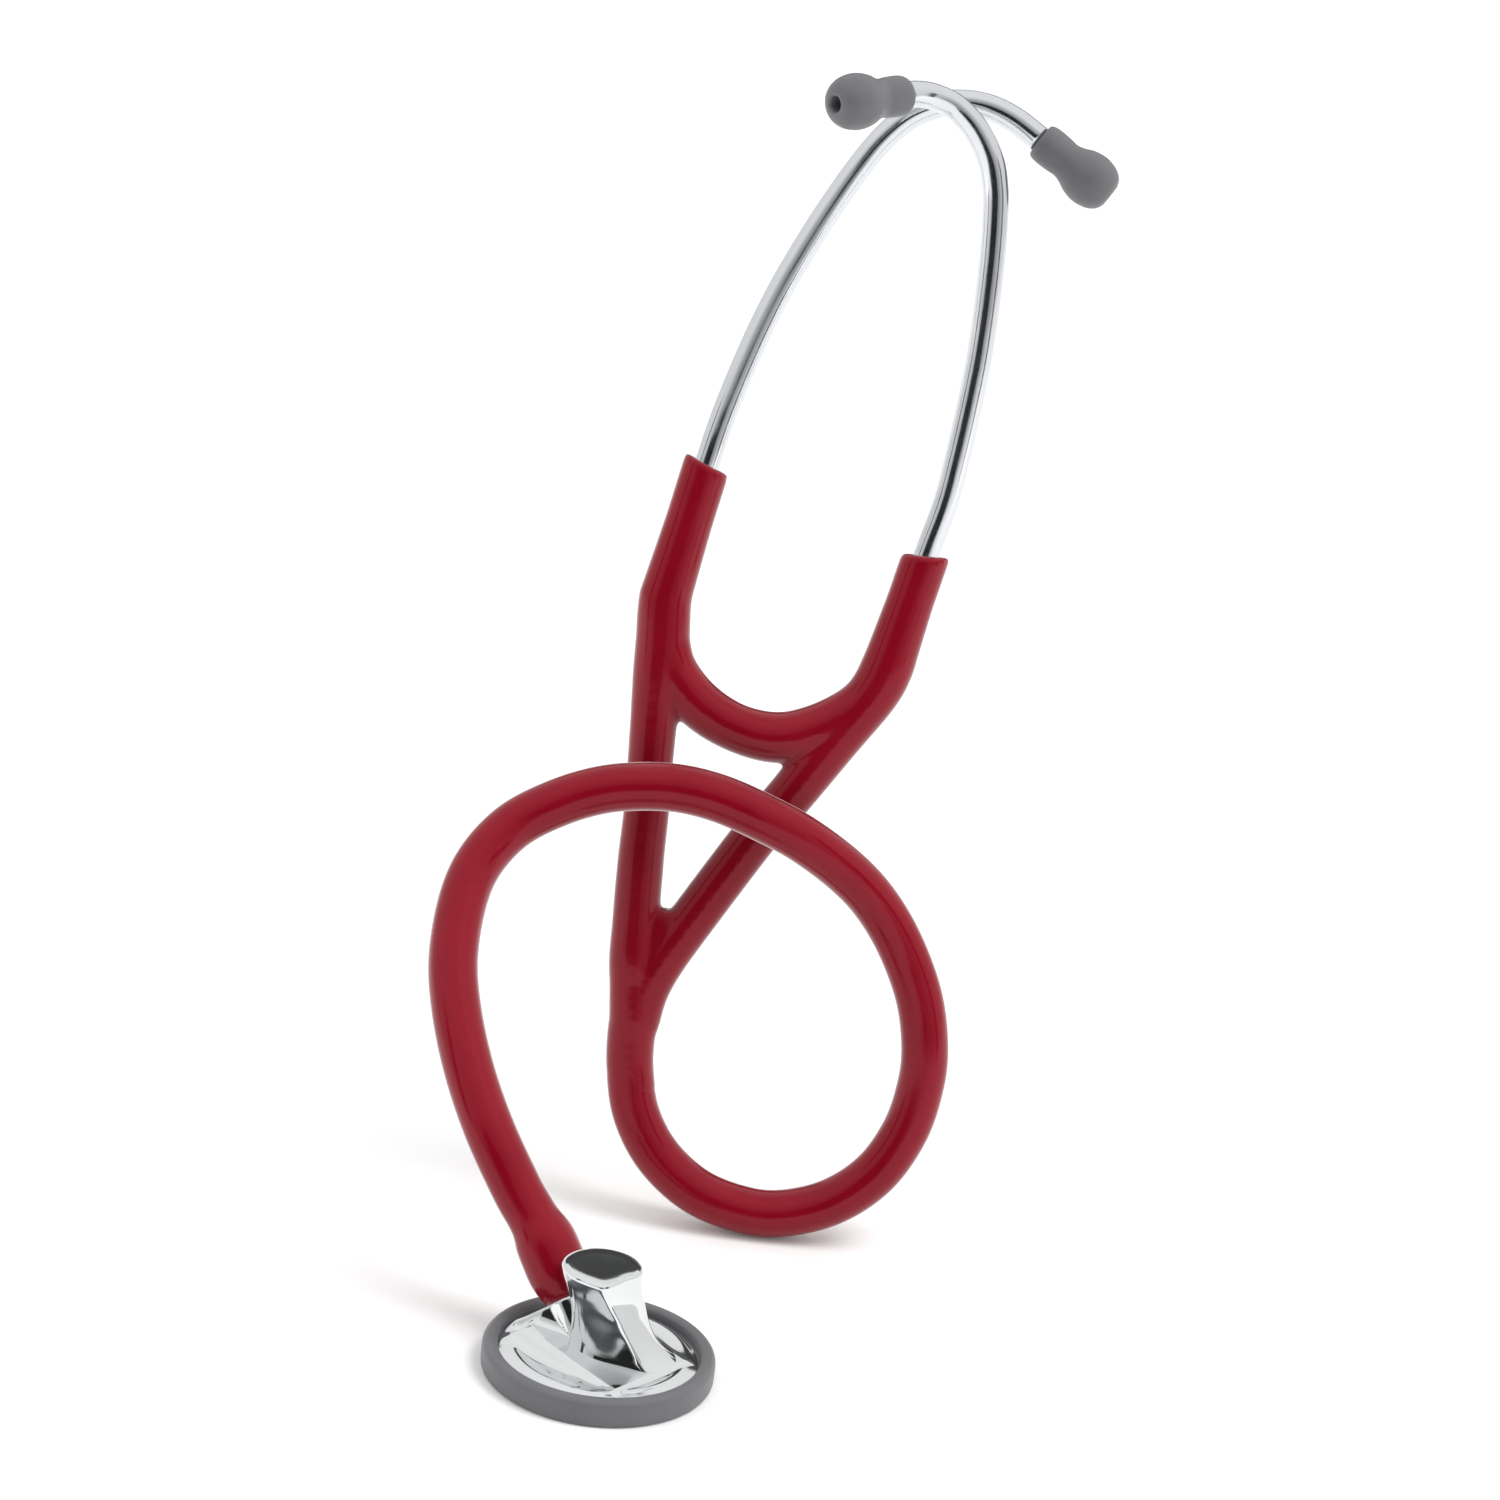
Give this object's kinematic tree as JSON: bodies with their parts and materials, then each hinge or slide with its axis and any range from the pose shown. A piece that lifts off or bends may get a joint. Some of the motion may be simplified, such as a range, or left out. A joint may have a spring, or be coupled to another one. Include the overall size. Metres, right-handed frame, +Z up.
{
  "type": "stethoscope",
  "caption": "Single-sided stethoscope standing on its chestpiece and hose loop, with a waisted grip, spring headset, bent ear tubes and soft ear tips.",
  "frame": {"origin": "on the floor under the centre of the rigid parts' bounding box", "axes": "+Z up, -Y towards the viewer in front of the leaning headset plane, +X across to the right"},
  "size_m": [0.1348, 0.1613, 0.2711],
  "materials": {
    "burgundy_pvc": "glossy",
    "polished_steel": "mirror polished",
    "satin_aluminium": "satin",
    "spring_steel": "brushed",
    "grey_rubber": "matte",
    "diaphragm_resin": "gloss",
    "nylon": "matte"
  },
  "bodies": {
    "stand": {"chestpiece_body": "polished_steel", "chestpiece_rim": "grey_rubber", "chestpiece_stem": "polished_steel", "diaphragm_surround": "grey_rubber", "hose": "burgundy_pvc", "yoke": "burgundy_pvc", "tension_spring": "spring_steel"},
    "diaphragm_disc": {"diaphragm": "diaphragm_resin"},
    "left_arm": {"left_arm_sleeve": "burgundy_pvc", "left_ear_tube": "satin_aluminium", "left_tube_collar": "spring_steel", "left_tip_nipple": "nylon"},
    "right_arm": {"right_arm_sleeve": "burgundy_pvc", "right_ear_tube": "satin_aluminium", "right_tube_collar": "spring_steel", "right_tip_nipple": "nylon"},
    "left_tip": {"left_ear_tip": "grey_rubber"},
    "right_tip": {"right_ear_tip": "grey_rubber"}
  },
  "joints": [
    {"name": "diaphragm_press", "type": "slide", "parent": "stand", "child": "diaphragm_disc", "axis": [0, 0, 1], "range_m": [0, 0.0005], "stiffness_N_per_m": 500},
    {"name": "left_arm_spread", "type": "hinge", "parent": "stand", "child": "left_arm", "pos_m": [-0.03749, 0.04789, 0.1451], "axis": [0, -0.9833, 0.1822], "range_deg": [-5, 28], "stiffness_Nm_per_rad": 1.5},
    {"name": "right_arm_spread", "type": "hinge", "parent": "stand", "child": "right_arm", "pos_m": [0.01615, 0.04634, 0.13672], "axis": [0, 0.9833, -0.1822], "range_deg": [-5, 28], "stiffness_Nm_per_rad": 1.5},
    {"name": "left_tip_pull", "type": "slide", "parent": "left_arm", "child": "left_tip", "axis": [0.8475, -0.1662, -0.504], "range_m": [0, 0.014]},
    {"name": "right_tip_pull", "type": "slide", "parent": "right_arm", "child": "right_tip", "axis": [-0.7773, -0.6251, -0.0709], "range_m": [0, 0.014]}
  ]
}
